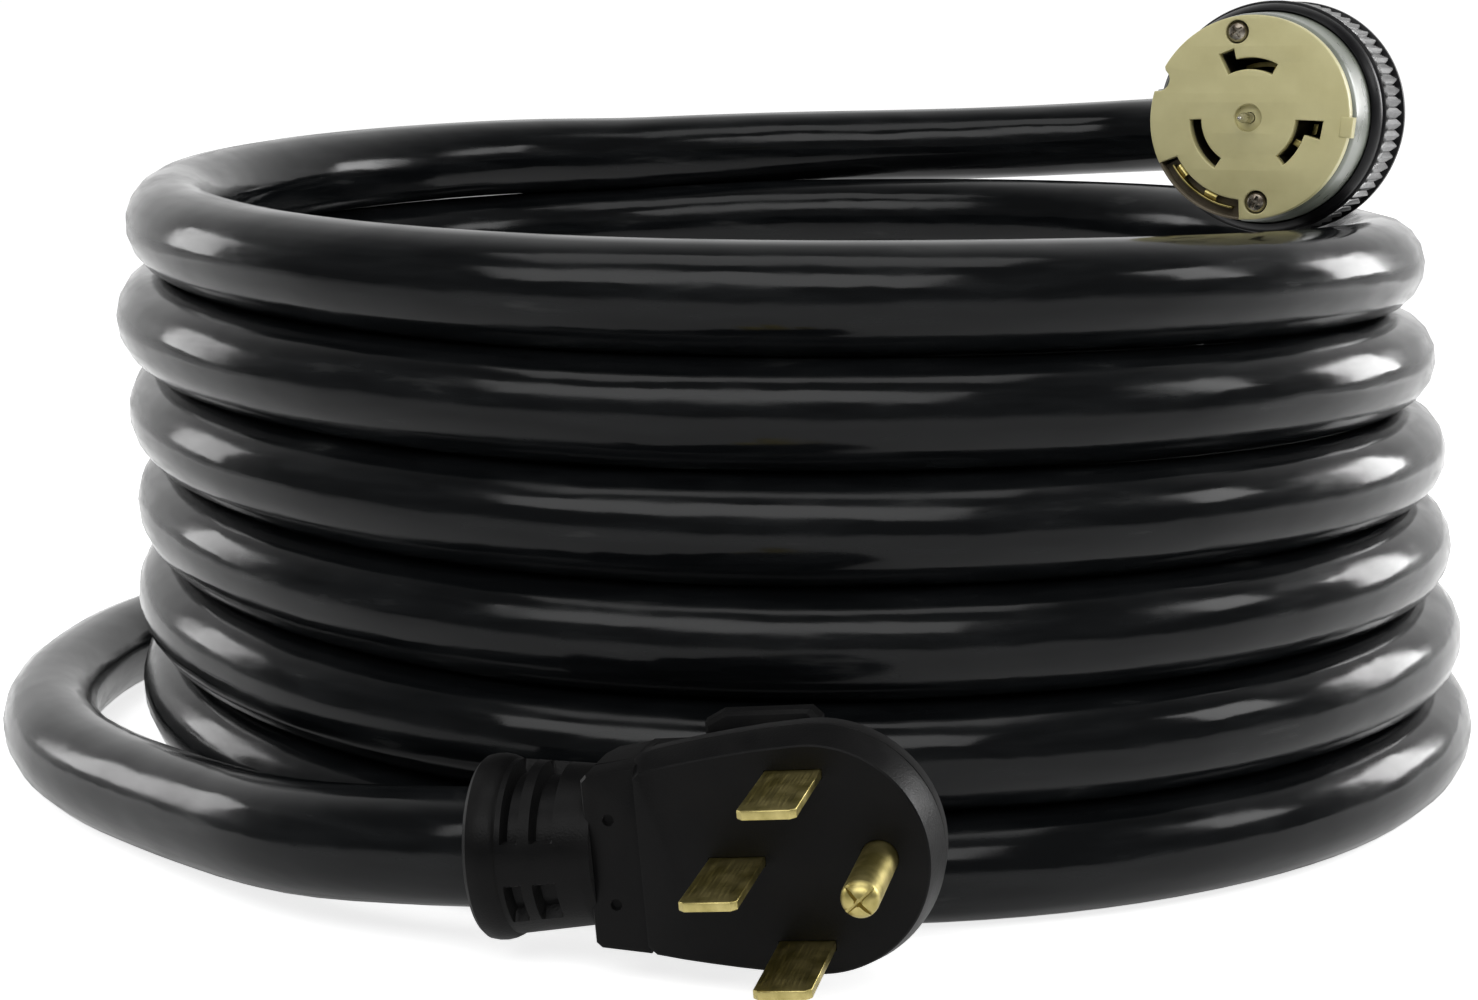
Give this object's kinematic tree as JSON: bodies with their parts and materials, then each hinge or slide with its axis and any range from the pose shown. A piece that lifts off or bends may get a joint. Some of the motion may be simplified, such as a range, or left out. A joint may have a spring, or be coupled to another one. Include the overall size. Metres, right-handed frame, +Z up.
{
  "type": "shore power cord",
  "caption": "Heavy black power cable coiled in a stack, with a flat right-angle moulded plug with brass blades at one end and a round twist-lock connector with a cream face at the other.",
  "frame": {"origin": "centre of the bounding box's footprint, on the surface that the coil lies on", "axes": "+Z up along the coil's axis; -Y is the front, where the plug lies; +X is to the right of someone facing the front"},
  "size_m": [0.4353, 0.4673, 0.2165],
  "materials": {
    "cable_rubber": "glossy extruded jacket",
    "plug_plastic": "fine moulded grain",
    "inner_plastic": "plain moulded",
    "brass": "brushed, slightly dulled",
    "cream_nylon": "satin moulded",
    "grey_nylon": "glossy moulded",
    "body_nylon": "satin moulded with a knurled grip",
    "steel": "bright plated",
    "grommet_rubber": "matte",
    "wire_black": "extruded insulation",
    "wire_red": "extruded insulation",
    "wire_white": "extruded insulation",
    "wire_green": "extruded insulation"
  },
  "bodies": {
    "root": {"cable_coil": "cable_rubber", "cable_top_lead": "cable_rubber", "cable_bottom_lead": "cable_rubber", "plug_front_shell": "plug_plastic", "plug_rear_cover": "plug_plastic", "plug_strain_relief": "plug_plastic", "plug_blade_carrier": "inner_plastic", "hot_blade_x": "brass", "hot_blade_y": "brass", "neutral_blade": "brass", "ground_pin": "brass", "plug_wire_black": "wire_black", "plug_wire_red": "wire_red", "plug_wire_white": "wire_white", "plug_wire_green": "wire_green", "connector_face": "cream_nylon", "connector_contact_carrier": "cream_nylon", "connector_contact_x": "brass", "connector_contact_y": "brass", "connector_contact_w": "brass", "connector_ground_strip": "brass", "connector_centre_pin": "steel", "connector_terminal_block": "inner_plastic", "connector_terminal_screw_1": "brass", "connector_terminal_screw_2": "brass", "connector_terminal_screw_3": "brass", "connector_terminal_screw_4": "brass", "connector_front_sleeve": "grey_nylon", "connector_body": "body_nylon", "connector_face_screw_1": "steel", "connector_face_screw_2": "steel", "connector_clamp_left": "body_nylon", "connector_clamp_right": "body_nylon", "connector_clamp_screw_1": "steel", "connector_clamp_screw_2": "steel", "connector_grommet": "grommet_rubber", "connector_wire_black": "wire_black", "connector_wire_red": "wire_red", "connector_wire_white": "wire_white", "connector_wire_green": "wire_green"}
  },
  "joints": []
}
